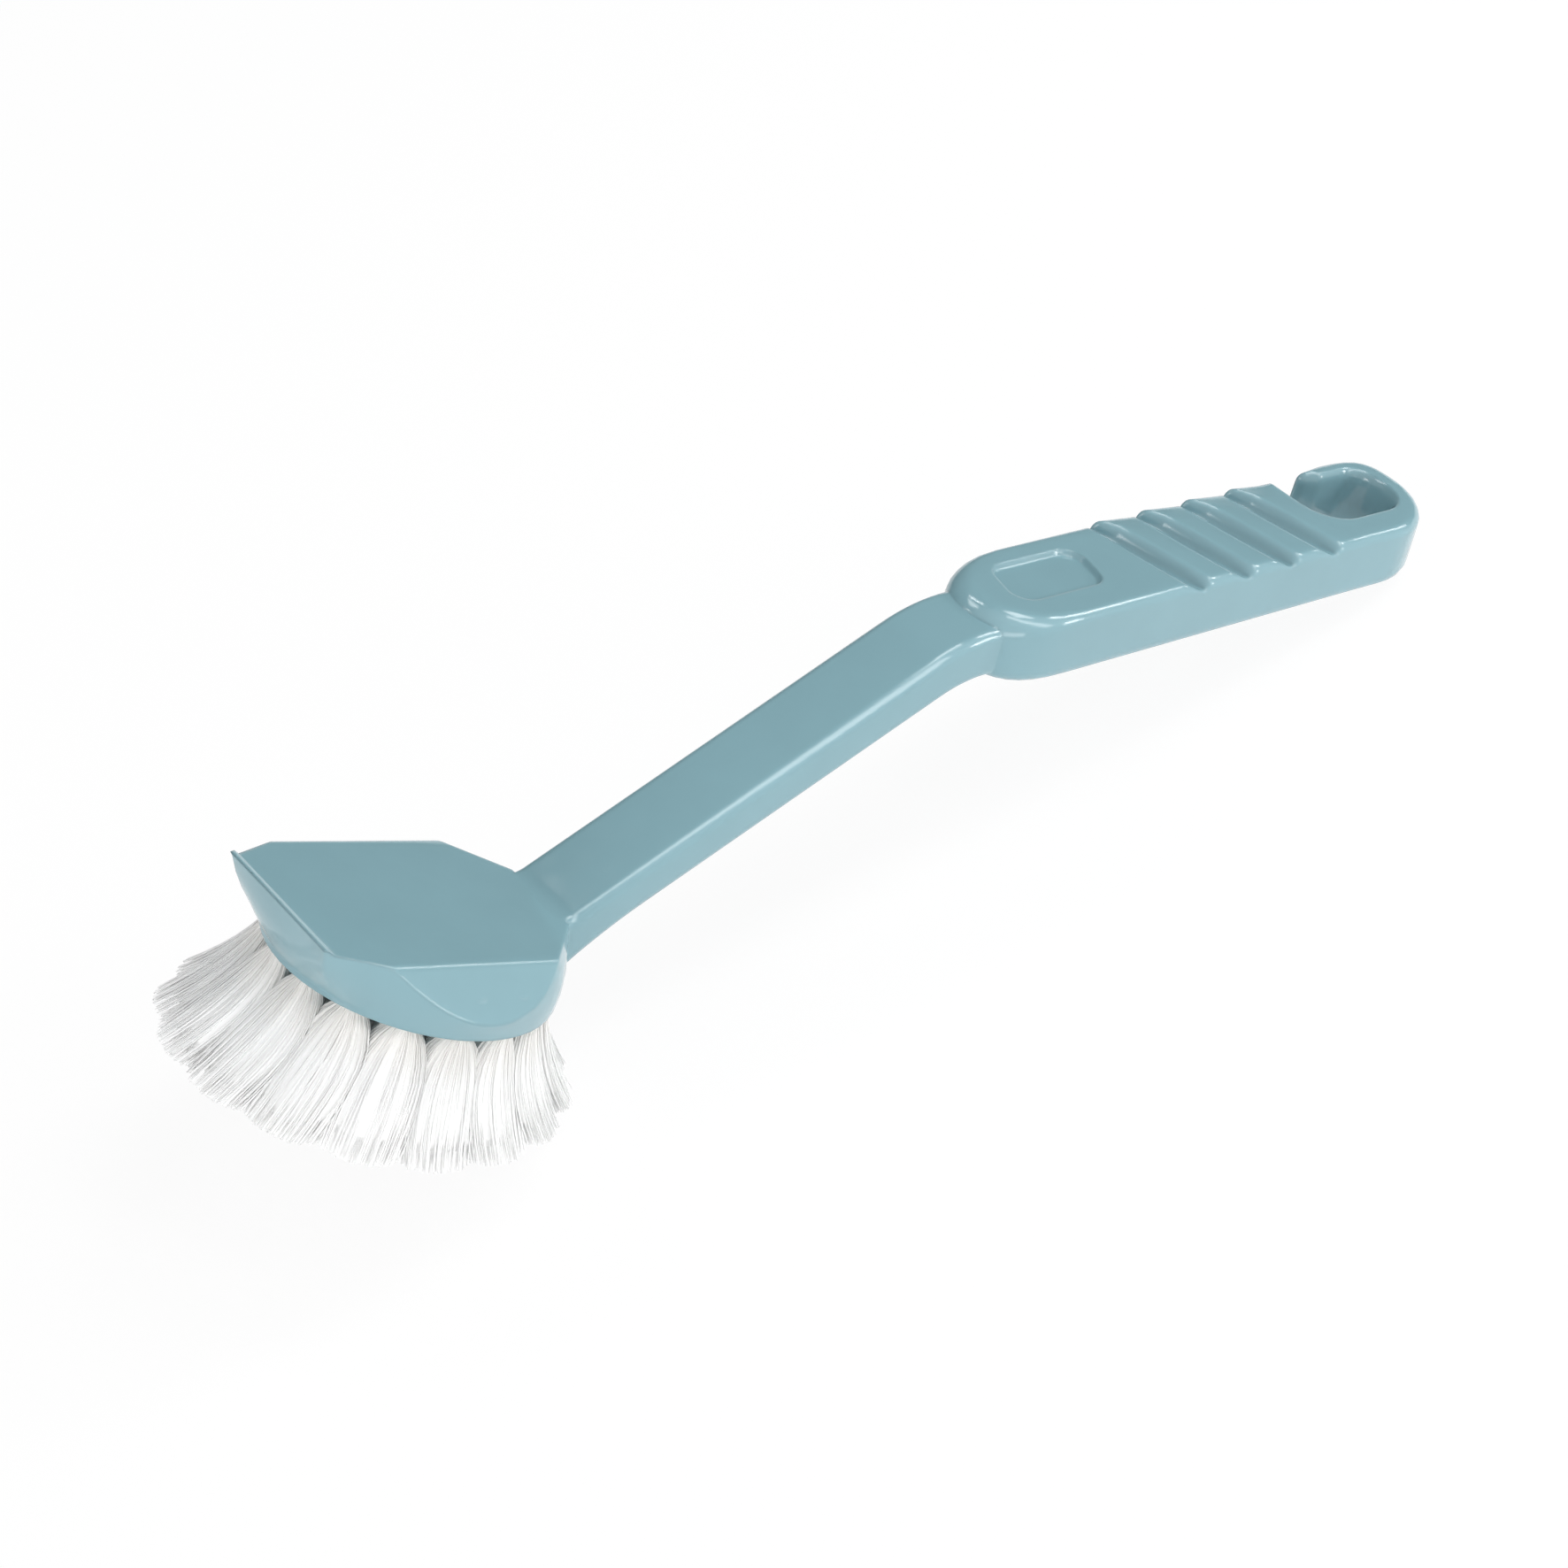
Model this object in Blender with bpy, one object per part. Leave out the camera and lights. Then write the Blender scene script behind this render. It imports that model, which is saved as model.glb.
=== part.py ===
# Long-handled wash brush.
# One moulding carries the head, the neck and the grip; bunches of nylon bristle are held in
# blind holes under the head by small metal anchors.
#
# The brush is drawn in the frame of its head: the flat top of the head is at z = 0, the
# scraper edge is at x = 0, the grip lies towards +X and the hook opens to +Y. An empty then
# tips the whole brush until it rests on the end of the grip and on the rear bristle tips.
import math

import bmesh
import bpy
from mathutils import Matrix, Vector
from mathutils.geometry import delaunay_2d_cdt

# Head
HEAD_DEPTH = 0.0114
SCRAPER_WIDTH = 0.0278
CREASE_SPACING = 0.0364
CREASE_START = 0.0098
CREASE_START_WIDTH = 0.0356
CREASE_END = 0.0471
CREASE_RADIUS = 0.0022
FACET_REACH = 0.0108
FACET_ROUNDING = 0.0120
FACET_SLOPE = 43.0
NECK_ROOT = 0.0573
BASE_CENTRE = 0.0331
BASE_LENGTH = 0.0554
BASE_WIDTH = 0.0488
WALL_BULGE = 0.0009
LIP_HEIGHT = 0.0007
LIP_CREST = 0.0005
LIP_SLOPE_LENGTH = 0.0013
HEAD_EDGE_RADIUS = 0.0005
RIM_HEIGHT = 0.0009

# Neck
NECK_RISE = 40.8
NECK_STRAIGHT = 0.0845
NECK_BEND_RADIUS = 0.0365
NECK_ROOT_WIDTH = 0.0172
NECK_END_WIDTH = 0.0166
NECK_ROOT_THICKNESS = 0.0082
NECK_END_THICKNESS = 0.0101
NECK_EDGE_RADIUS = 0.0020
NECK_FLARE = 0.0021
NECK_FLARE_LENGTH = 0.0200
NECK_FILLET = 0.0065
NECK_FILLET_SINK = 0.00012
NECK_INTO_HEAD = 0.0050
NECK_INTO_GRIP = 0.0045

# Grip
GRIP_RISE = 16.0
GRIP_WIDTH = 0.0262
GRIP_THICKNESS = 0.0142
GRIP_STEP = 0.0030
GRIP_SET_BACK = 0.0014
GRIP_FRONT_LENGTH = 0.0185
GRIP_FRONT_RADIUS = 0.0048
GRIP_TOP_RADIUS = 0.0020
GRIP_BOTTOM_RADIUS = 0.0028
GROOVE_START = 0.0436
GROOVE_PITCH = 0.0134
GROOVE_WIDTH = 0.0074
GROOVE_SKEW = 8.0
GROOVE_WALL_SKEW = 15.0
GROOVE_CURL = 0.0024
GROOVE_DEPTH = 0.0025
GROOVE_FAR_DEPTH = 0.0017
GROOVE_FADE = 0.0025
RIDGE_RISE = 0.0010
RECESS_START = 0.0066
RECESS_LENGTH = 0.0240
RECESS_WIDTH = 0.0132
RECESS_OFFSET = 0.0012
RECESS_SKEW = 0.0034
RECESS_DEPTH = 0.0010
RECESS_CORNER = 0.0042
RECESS_DRAFT = 0.0008

# Hook
HOOK_LAND = 0.0076
HOOK_HOLE_LENGTH = 0.0260
HOOK_HOLE_WIDTH = 0.0150
HOOK_END_WALL = 0.0062
HOOK_ARM = 0.0029
HOOK_BULGE = 0.0018
HOOK_OFFSET = 0.0048
HOOK_FAR_END = 0.0130
HOOK_NEAR_END = 0.0190
HOOK_TOP_RADIUS = 0.0026
HOOK_BOTTOM_RADIUS = 0.0024
HOOK_LEAN = 0.0013
HOOK_MOUTH = 0.0107
HOOK_TIP_SLANT = 0.0038
HOOK_TIP_HEIGHT = 0.0024
HOOK_FRONT_CORNER = 0.0074
HOOK_NEAR_CORNER = 0.0080
HOOK_FAR_CORNER = 0.0046
HOOK_RIM_RADIUS = 0.0013
HOOK_TIP_RADIUS = 0.0030
HOOK_TIP_ROUNDING = 0.0025
HOOK_RIM_DEPTH = 0.0030

# Bristles
BRISTLE_LENGTH = 0.0206
TIP_LENGTH = 0.0826
TIP_WIDTH = 0.0696
TUFT_HOLE = 0.0046
TUFT_HOLE_DEPTH = 0.0070
TUFT_CLEARANCE = 0.0003
TUFT_EDGE = 0.0012
TUFT_TIP_SPREAD = 0.0105
STRAND_WIDTH = 0.00064
STRAND_BEND = 0.0006
TIP_RAGGEDNESS = 0.0005
ANCHOR_HEIGHT = 0.0016
ANCHOR_THICKNESS = 0.0004

# Overlap of parts that are joined, and overrun of cutters
OVERRUN = 0.0020
PROUD = 0.0002

# Counts and shares
RING_COUNTS = (16, 9, 4)
RING_SIZE_SHARES = (1.0, 0.62, 0.24)
RING_TURN_SHARES = (0.5, 0.5, 0.5)
STRAND_COUNTS = (15, 13, 13)
STRAND_RING_SHARES = (0.0, 0.52, 0.96)
TUFT_SIDES = 8
GROOVE_COUNT = 4
GROOVE_SHARES = (
    (0.0, 0.0), (0.10, 0.05), (0.28, 0.36), (0.46, 0.74), (0.60, 0.96),
    (0.68, 1.0), (0.74, 0.92), (0.80, 0.54), (0.85, 0.22), (0.91, 0.05), (1.0, 0.0),
)
INSET_SHARES = (0.0, 0.05, 0.18, 0.38, 0.65, 1.0)
FILLET_SHARES = (0.0, 0.12, 0.26, 0.42, 0.6, 0.8, 1.0)
BOTTOM_INSET_SHARES = (0.0, 0.14, 0.48, 1.0)
INNER_SHARES = (0.79, 0.58, 0.0)
EDGE_LIMIT_SHARE = 0.8
FRONT_ROUNDNESS = 2.6
HOOK_NEAR_ROUNDNESS = 2.0
HOOK_FAR_ROUNDNESS = 3.0
CURL_START_SHARE = 0.55
GROOVE_END_SHARE = 0.8
GROOVE_FLOOR_SHARE = 0.68
BULGE_START_SHARE = 0.35
GROOVE_BLEND = 2.5
RIM_SHARES = (0.12, 0.35, 0.65, 1.0)
TIP_SPREAD_SHARES = (1.0, 0.95, 0.85)

HALF_GRIP = GRIP_WIDTH / 2
GRIP_FRONT = GRIP_FRONT_LENGTH - GRIP_SET_BACK
GROOVE_END = GROOVE_START + (GROOVE_COUNT - 1) * GROOVE_PITCH + GROOVE_WIDTH
HOOK_START = GROOVE_END + HOOK_LAND
HOOK_END = HOOK_START + HOOK_HOLE_LENGTH
BULGE_START = HOOK_START + HOOK_MOUTH * BULGE_START_SHARE
GRIP_END = HOOK_END + HOOK_END_WALL
HALF_CREASE = CREASE_SPACING / 2
GRIP_TOP = GRIP_STEP
GRIP_BOTTOM = GRIP_STEP - GRIP_THICKNESS


def new_object(name, bm, material=None, smooth=35.0):
    bmesh.ops.recalc_face_normals(bm, faces=bm.faces)
    mesh = bpy.data.meshes.new(name)
    bm.to_mesh(mesh)
    bm.free()
    mesh.shade_smooth()
    mesh.set_sharp_from_angle(angle=math.radians(smooth))
    if material:
        mesh.materials.append(material)
    obj = bpy.data.objects.new(name, mesh)
    bpy.context.collection.objects.link(obj)
    return obj


def as_cutter(obj):
    obj.hide_render = True
    obj.display_type = "WIRE"
    return obj


def boolean(obj, other, operation):
    mod = obj.modifiers.new(other.name, "BOOLEAN")
    mod.object = other
    mod.operation = operation
    mod.solver = "EXACT"


def skin(rings):
    """A closed mesh through rings of equally many points, with flat ends."""
    bm = bmesh.new()
    rows = [[bm.verts.new(p) for p in ring] for ring in rings]
    for a, b in zip(rows[:-1], rows[1:]):
        count = len(a)
        for i in range(count):
            j = (i + 1) % count
            bm.faces.new((a[i], a[j], b[j], b[i]))
    bm.faces.new(rows[0])
    bm.faces.new(list(reversed(rows[-1])))
    return bm


def material(name, colour, roughness, metallic=0.0):
    mat = bpy.data.materials.new(name)
    mat.use_nodes = True
    shader = mat.node_tree.nodes["Principled BSDF"]
    shader.inputs["Base Color"].default_value = (*colour, 1.0)
    shader.inputs["Roughness"].default_value = roughness
    shader.inputs["Metallic"].default_value = metallic
    mat.diffuse_color = (*colour, 1.0)
    return mat


def along(a, b, count):
    """Points from a up to, but without, b."""
    return [a.lerp(b, i / count) for i in range(count)]


def arc_points(centre, start, end, count):
    """Points round a centre from one arm to the other, by the shorter way."""
    first = math.atan2(start.y, start.x)
    sweep = (math.atan2(end.y, end.x) - first + math.pi) % (2 * math.pi) - math.pi
    turns = [first + sweep * i / count for i in range(count + 1)]
    return [centre + start.length * Vector((math.cos(t), math.sin(t))) for t in turns]


def head_outline():
    """Outline of the head where its walls would meet the plane of its flat top."""
    scraper = Vector((0, -SCRAPER_WIDTH / 2))
    front = Vector((CREASE_START, -CREASE_START_WIDTH / 2))
    rear = Vector((CREASE_END, -HALF_CREASE))
    root = Vector((NECK_ROOT, -NECK_ROOT_WIDTH / 2))
    bulge = (front + rear) / 2 - Vector((0, FACET_REACH))
    corners = [(front, 0, 0), (bulge, FACET_ROUNDING, 0), (rear, 0, 0)]
    flank = [p for p, _ in rounded_outline(corners, 8)]
    near = along(scraper, front, 3) + along(front, flank[1], 5) + flank[1:-2]
    near += along(flank[-2], rear, 5) + along(rear, root, 4) + [root]
    far = [Vector((p.x, -p.y)) for p in reversed(near)]
    across = along(root, far[0], 4)[1:] + far[:-1]
    return near + across + along(far[-1], scraper, 8)


def base_point(p, depth):
    """Point of the oval base that belongs to a point of the upper outline."""
    turn = math.atan2(p.y / BASE_WIDTH, (p.x - BASE_CENTRE) / BASE_LENGTH)
    x = BASE_CENTRE + BASE_LENGTH / 2 * math.cos(turn)
    return Vector((x, BASE_WIDTH / 2 * math.sin(turn), -depth))


def head_mesh():
    outline = head_outline()
    wall = HEAD_DEPTH - RIM_HEIGHT
    rings = []
    for share in (-LIP_HEIGHT / wall, 0.0, 0.25, 0.5, 0.75, 1.0):
        ring = []
        for p in outline:
            foot = base_point(p, wall)
            out = Vector((p.x - BASE_CENTRE, p.y, 0)).normalized()
            bulge = 4 * max(0, share) * (1 - share) * WALL_BULGE
            ring.append(p.to_3d().lerp(foot, share) + out * bulge)
        rings.append(ring)
    rings.append([base_point(p, HEAD_DEPTH) for p in outline])
    bm = skin(rings)
    full = math.radians(FACET_SLOPE)
    inset = HALF_CREASE - CREASE_RADIUS * math.tan(full / 2)
    for side in (-1, 1):
        centre = Vector((0, side * inset, -CREASE_RADIUS))
        for tilt in (full / 3, full * 2 / 3, full):
            geom = list(bm.verts) + list(bm.edges) + list(bm.faces)
            normal = Vector((0, side * math.sin(tilt), math.cos(tilt)))
            place = centre + normal * CREASE_RADIUS
            bmesh.ops.bisect_plane(bm, geom=geom, plane_co=place, plane_no=normal, clear_outer=True)
            bmesh.ops.holes_fill(bm, edges=[e for e in bm.edges if e.is_boundary], sides=0)
    return bm


def lip_cutter():
    """Takes the head down to its flat top, behind a low lip along the scraper edge."""
    toe = LIP_HEIGHT + OVERRUN
    heel = NECK_ROOT + OVERRUN
    foot = LIP_CREST + LIP_SLOPE_LENGTH
    brow = foot - LIP_SLOPE_LENGTH * toe / LIP_HEIGHT
    profile = [(foot, 0), (brow, toe), (heel, toe), (heel, 0)]
    half = HALF_CREASE + OVERRUN
    return skin([[Vector((x, y, z)) for x, z in profile] for y in (-half, half)])


def neck_frame(s):
    """Point of the neck's top line at arc length s, with its direction's rise."""
    rise = math.radians(NECK_RISE)
    low = math.radians(GRIP_RISE)
    bend = NECK_BEND_RADIUS * (rise - low)
    if s <= NECK_STRAIGHT:
        x = NECK_ROOT + s * math.cos(rise)
        return Vector((x, 0, s * math.sin(rise))), rise
    corner = Vector((NECK_ROOT + NECK_STRAIGHT * math.cos(rise), 0, NECK_STRAIGHT * math.sin(rise)))
    down = Vector((math.sin(rise), 0, -math.cos(rise)))
    centre = corner + down * NECK_BEND_RADIUS
    turn = rise - min(s - NECK_STRAIGHT, bend) / NECK_BEND_RADIUS
    up = Vector((-math.sin(turn), 0, math.cos(turn)))
    point = centre + up * NECK_BEND_RADIUS
    past = max(0, s - NECK_STRAIGHT - bend)
    return point + past * Vector((math.cos(turn), 0, math.sin(turn))), turn


def rounded_section(half, top, bottom, radius, steps):
    """Points (y, z) of a rectangle with rounded corners."""
    points = []
    y = half - radius
    corners = ((y, top - radius), (-y, top - radius), (-y, bottom + radius), (y, bottom + radius))
    for quarter, (cy, cz) in enumerate(corners):
        for i in range(steps + 1):
            angle = math.pi / 2 * (quarter + i / steps)
            points.append((cy + radius * math.cos(angle), cz + radius * math.sin(angle)))
    return points


def neck_fillet(s):
    """Height of the hollow between the head's flat top and the neck, above the neck's top."""
    rise = math.radians(NECK_RISE)
    reach = NECK_FILLET * math.tan(rise / 2)
    start = -reach * math.cos(rise)
    if s < start or s > reach:
        return 0
    height = NECK_FILLET - math.sqrt(NECK_FILLET ** 2 - (reach - s) ** 2)
    return height - NECK_FILLET_SINK * (reach - s) / (reach - start)


def neck_mesh():
    bend = NECK_BEND_RADIUS * math.radians(NECK_RISE - GRIP_RISE)
    end = NECK_STRAIGHT + bend
    reach = NECK_FILLET * math.tan(math.radians(NECK_RISE) / 2)
    start = -reach * math.cos(math.radians(NECK_RISE))
    flared = NECK_FLARE_LENGTH - NECK_INTO_HEAD
    stations = [-NECK_INTO_HEAD] + [start + (reach - start) * share for share in FILLET_SHARES]
    stations += [reach + (flared - reach) * i / 4 for i in range(1, 5)]
    stations += [flared + (NECK_STRAIGHT - flared) * i / 4 for i in range(1, 5)]
    stations += [NECK_STRAIGHT + bend * i / 8 for i in range(1, 9)]
    stations.append(end + NECK_INTO_GRIP)
    rings = []
    for s in stations:
        share = min(max(s / end, 0), 1)
        half = (NECK_ROOT_WIDTH + (NECK_END_WIDTH - NECK_ROOT_WIDTH) * share) / 2
        thick = NECK_ROOT_THICKNESS + (NECK_END_THICKNESS - NECK_ROOT_THICKNESS) * share
        lead = max(0, 1 - (s + NECK_INTO_HEAD) / NECK_FLARE_LENGTH)
        thick += NECK_FLARE * lead * lead
        point, turn = neck_frame(s)
        up = Vector((-math.sin(turn), 0, math.cos(turn)))
        section = rounded_section(half, neck_fillet(s), -thick, NECK_EDGE_RADIUS, 3)
        rings.append([point + Vector((0, y, 0)) + up * z for y, z in section])
    return skin(rings)


def smooth_step(share):
    share = min(max(share, 0), 1)
    return share * share * (3 - 2 * share)


def oval(share, power):
    """Height of a round end at a share of its length."""
    return max(0, 1 - share ** power) ** (1 / power)


def grip_sides(u):
    """Near and far sides of the grip's outline, where the hook bulges and turns round."""
    far_start = GRIP_END - HOOK_FAR_END
    near_start = GRIP_END - HOOK_NEAR_END
    near = -HALF_GRIP
    if u > near_start:
        height = oval((u - near_start) / HOOK_NEAR_END, HOOK_NEAR_ROUNDNESS)
        near = HOOK_OFFSET - (HALF_GRIP + HOOK_OFFSET) * height
    if u > far_start:
        height = oval((u - far_start) / HOOK_FAR_END, HOOK_FAR_ROUNDNESS)
        return near, HOOK_OFFSET + (HALF_GRIP + HOOK_BULGE - HOOK_OFFSET) * height
    return near, HALF_GRIP + HOOK_BULGE * smooth_step((u - BULGE_START) / (far_start - BULGE_START))


def groove_shift(y, place):
    """How far a line of a groove lies towards the head at a distance across the grip."""
    lead = math.tan(math.radians(GROOVE_SKEW))
    wall = math.tan(math.radians(GROOVE_WALL_SKEW))
    curl = smooth_step((y / HALF_GRIP - CURL_START_SHARE) / (1 - CURL_START_SHARE))
    return y * (lead + (wall - lead) * place) + GROOVE_CURL * curl * place


def grip_stations():
    """Sections of the grip: place along it, how far and in which way it leans, its sides."""
    rows = []
    power = 2 / FRONT_ROUNDNESS
    for degrees in (6, 14, 23, 32, 41, 50, 60, 70, 80):
        turn = math.radians(degrees)
        half = HALF_GRIP * math.sin(turn) ** power
        rows.append((GRIP_FRONT - GRIP_FRONT_LENGTH * math.cos(turn) ** power, 0, 0, -half, half))
    places = [(GRIP_FRONT, 0, 0), ((GRIP_FRONT + GROOVE_START) / 2, 0.5, 0)]
    for i in range(GROOVE_COUNT):
        start = GROOVE_START + GROOVE_PITCH * i
        for place, depth in GROOVE_SHARES:
            places.append((start + GROOVE_WIDTH * place, 1, place))
    near_start = GRIP_END - HOOK_NEAR_END
    far_start = GRIP_END - HOOK_FAR_END
    places += [((GROOVE_END + BULGE_START) / 2, 0.5, 1), (BULGE_START, 0, 0)]
    places += [(near_start + (far_start - near_start) * i / 4, 0, 0) for i in range(5)]
    for degrees in (76, 63, 51, 41, 32, 24, 17, 11, 6):
        turn = math.radians(degrees)
        places.append((far_start + HOOK_FAR_END * math.cos(turn), 0, 0))
    return rows + [(u, lean, place, *grip_sides(u)) for u, lean, place in places]


def curve_distance(x, length, y, width, power):
    """Distance inwards from a rounded end to a point, from its oval's own slope."""
    a, b = x / length, abs(y) / width
    total = a ** power + b ** power
    if total == 0:
        return min(length, width)
    level = total ** (1 / power)
    slope = total ** (1 / power - 1)
    gradient = math.hypot(slope * a ** (power - 1) / length, slope * b ** (power - 1) / width)
    return max(0, (1 - level) / gradient)


def outline_distance(u, y):
    """Distance from a point of the grip's plan to its outline."""
    near_start = GRIP_END - HOOK_NEAR_END
    far_start = GRIP_END - HOOK_FAR_END
    if u < GRIP_FRONT:
        return curve_distance(GRIP_FRONT - u, GRIP_FRONT_LENGTH, y, HALF_GRIP, FRONT_ROUNDNESS)
    if y < HOOK_OFFSET and u > near_start:
        length, width, power = HOOK_NEAR_END, HALF_GRIP + HOOK_OFFSET, HOOK_NEAR_ROUNDNESS
        return curve_distance(u - near_start, length, y - HOOK_OFFSET, width, power)
    if y >= HOOK_OFFSET and u > far_start:
        length, width, power = HOOK_FAR_END, HALF_GRIP + HOOK_BULGE - HOOK_OFFSET, HOOK_FAR_ROUNDNESS
        return curve_distance(u - far_start, length, y - HOOK_OFFSET, width, power)
    near, far = grip_sides(u)
    return max(0, min(y - near, far - y))


def groove_depth(u, y):
    """How deep the cross grooves lie at a place of the grip's plan."""
    full = GROOVE_DEPTH + (GROOVE_FAR_DEPTH - GROOVE_DEPTH) * smooth_step(y / HALF_GRIP)
    for i in range(GROOVE_COUNT):
        start = GROOVE_START + GROOVE_PITCH * i - groove_shift(y, 0)
        end = GROOVE_START + GROOVE_PITCH * i + GROOVE_WIDTH - groove_shift(y, 1)
        share = (u - start) / (end - start)
        for (a, da), (b, db) in zip(GROOVE_SHARES[:-1], GROOVE_SHARES[1:]):
            if a <= share <= b:
                return full * (da + (db - da) * (share - a) / (b - a))
    return 0


def ridge_rise(u, y):
    """How far a ridge stands above the flat: most at its edge next to a groove's steep wall."""
    full = RIDGE_RISE * smooth_step((y / HALF_GRIP + 1) / 2)
    for i in range(GROOVE_COUNT):
        start = GROOVE_START + GROOVE_PITCH * i
        bed = start + GROOVE_WIDTH * GROOVE_FLOOR_SHARE - groove_shift(y, GROOVE_FLOOR_SHARE)
        crest = start + GROOVE_WIDTH - groove_shift(y, 1)
        foot = start + GROOVE_PITCH - groove_shift(y, 0)
        if bed < u <= crest:
            return full * smooth_step((u - bed) / (crest - bed))
        if crest < u < foot:
            return full * (foot - u) / (foot - crest)
    return 0


def fillet_drop(distance, radius):
    """How far a rounded edge falls below its flat at a distance from the outline."""
    short = max(0, radius - distance)
    return radius - math.sqrt(max(0, radius * radius - short * short))


def top_radius(u):
    """Radius of the upper edge, larger round the front of the grip and round the hook."""
    front = smooth_step(1 - (u + GRIP_SET_BACK) / GRIP_FRONT_LENGTH)
    rear = smooth_step((u - BULGE_START) / (GRIP_END - BULGE_START))
    radius = GRIP_TOP_RADIUS + (GRIP_FRONT_RADIUS - GRIP_TOP_RADIUS) * front
    return radius + (HOOK_TOP_RADIUS - GRIP_TOP_RADIUS) * rear


def bottom_radius(u):
    """Radius of the lower edge, larger round the hook."""
    rear = smooth_step((u - BULGE_START) / (GRIP_END - BULGE_START))
    return GRIP_BOTTOM_RADIUS + (HOOK_BOTTOM_RADIUS - GRIP_BOTTOM_RADIUS) * rear


def hook_lean(u):
    """How much further the underside reaches than the top where the hook turns round."""
    start = GRIP_END - HOOK_NEAR_END
    return HOOK_LEAN * smooth_step((u - start) / (GRIP_END - start))


def grip_place(u, y, z):
    """A point of the grip's own frame, in the frame of the head."""
    end = NECK_STRAIGHT + NECK_BEND_RADIUS * math.radians(NECK_RISE - GRIP_RISE)
    origin, turn = neck_frame(end)
    length = Vector((math.cos(turn), 0, math.sin(turn)))
    up = Vector((-math.sin(turn), 0, math.cos(turn)))
    return origin + length * u + Vector((0, y, 0)) + up * z


def section_offsets(half, radius, shares, inner):
    """Offsets across a section from one side to the other, closer at its edges."""
    edge = min(radius, half * EDGE_LIMIT_SHARE)
    offsets = [half - edge * share for share in shares]
    offsets += [(half - edge) * share for share in inner]
    return offsets + [-y for y in reversed(offsets[:-1])]


def grip_mesh():
    rings = []
    for station, lean, place, near, far in grip_stations():
        middle, half = (near + far) / 2, (far - near) / 2
        ring = []
        high = top_radius(station)
        for offset in section_offsets(half, high, INSET_SHARES, INNER_SHARES):
            y = middle + offset
            u = station - groove_shift(y, place) * lean
            edge = outline_distance(u, y)
            rounding = fillet_drop(edge, high)
            fade = GROOVE_END_SHARE + (1 - GROOVE_END_SHARE) * min(edge / GROOVE_FADE, 1)
            groove = groove_depth(u, y) * fade
            drop = (rounding ** GROOVE_BLEND + groove ** GROOVE_BLEND) ** (1 / GROOVE_BLEND)
            ring.append(grip_place(u, y, GRIP_TOP - drop + ridge_rise(u, y)))
        low = bottom_radius(station)
        for offset in section_offsets(half, low, BOTTOM_INSET_SHARES, (0.0,)):
            y = middle - offset
            u = station - groove_shift(y, place) * lean
            rounding = fillet_drop(outline_distance(u, y), low)
            ring.append(grip_place(u + hook_lean(station), y, GRIP_BOTTOM + rounding))
        rings.append(ring)
    return skin(rings)


def rounded_outline(corners, steps):
    """Points of a closed outline with a radius and a flare at each of its corners."""
    points = []
    count = len(corners)
    for i, (corner, radius, flare) in enumerate(corners):
        here = Vector(corner)
        before = Vector(corners[i - 1][0]) - here
        after = Vector(corners[(i + 1) % count][0]) - here
        if radius == 0:
            points.append((here, flare))
            continue
        half = before.angle(after) / 2
        reach = radius / math.tan(half)
        centre = here + (before.normalized() + after.normalized()).normalized() * (
            radius / math.sin(half))
        start = here + before.normalized() * reach - centre
        end = here + after.normalized() * reach - centre
        points += [(p, flare) for p in arc_points(centre, start, end, steps)]
    return points


def flared_cutter(corners, levels, steps=6):
    """A cutter through the grip whose outline widens by a share of the flare at each level."""
    points = rounded_outline(corners, steps)
    count = len(points)
    rings = []
    for z, share in levels:
        ring = []
        for i, (p, flare) in enumerate(points):
            ahead = points[(i + 1) % count][0] - p
            behind = p - points[i - 1][0]
            run = ahead.normalized() + behind.normalized()
            out = Vector((run.y, -run.x)).normalized()
            q = p + out * (flare * share)
            ring.append(grip_place(q.x, q.y, z))
        rings.append(ring)
    return skin(rings)


def recess_cutter():
    near = RECESS_OFFSET - RECESS_WIDTH / 2
    far = RECESS_OFFSET + RECESS_WIDTH / 2
    end = RECESS_START + RECESS_LENGTH
    skew = RECESS_SKEW
    places = ((RECESS_START, near), (end, near), (end + skew, far), (RECESS_START + skew, far))
    corners = [(place, RECESS_CORNER, RECESS_DRAFT) for place in places]
    floor = GRIP_TOP - RECESS_DEPTH
    rim = GRIP_TOP
    levels = [
        (floor, -1.0), (floor + RECESS_DEPTH * 0.18, -0.72), (rim - RECESS_DEPTH * 0.18, -0.28),
        (rim + PROUD, 0.0), (rim + OVERRUN, 0.0),
    ]
    return flared_cutter(corners, levels)


def hook_cutter():
    """The hook's hole with its mouth to the far side, wider at both faces."""
    far = HALF_GRIP - HOOK_ARM
    near = far - HOOK_HOLE_WIDTH
    out = HALF_GRIP + HOOK_BULGE + OVERRUN
    tip = HOOK_START + HOOK_MOUTH
    rim = HOOK_RIM_RADIUS
    blunt = HOOK_TIP_ROUNDING
    corners = [
        ((HOOK_START, out), 0, rim), ((HOOK_START, near), HOOK_FRONT_CORNER, rim),
        ((HOOK_END, near), HOOK_NEAR_CORNER, rim), ((HOOK_END, far), HOOK_FAR_CORNER, rim),
        ((tip + HOOK_TIP_SLANT, far), HOOK_TIP_RADIUS, rim),
        ((tip, far + HOOK_TIP_HEIGHT), HOOK_TIP_RADIUS, blunt), ((tip, out), 0, blunt),
    ]
    levels = [(GRIP_BOTTOM - OVERRUN, 1.0), (GRIP_BOTTOM - PROUD, 1.0)]
    levels += [
        (GRIP_BOTTOM + HOOK_RIM_DEPTH * s, 1 - math.sqrt(s * (2 - s))) for s in RIM_SHARES]
    levels += [
        (GRIP_TOP - HOOK_RIM_DEPTH * s, 1 - math.sqrt(s * (2 - s))) for s in reversed(RIM_SHARES)]
    levels += [(GRIP_TOP + PROUD, 1.0), (GRIP_TOP + OVERRUN, 1.0)]
    return flared_cutter(corners, levels)


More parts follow.
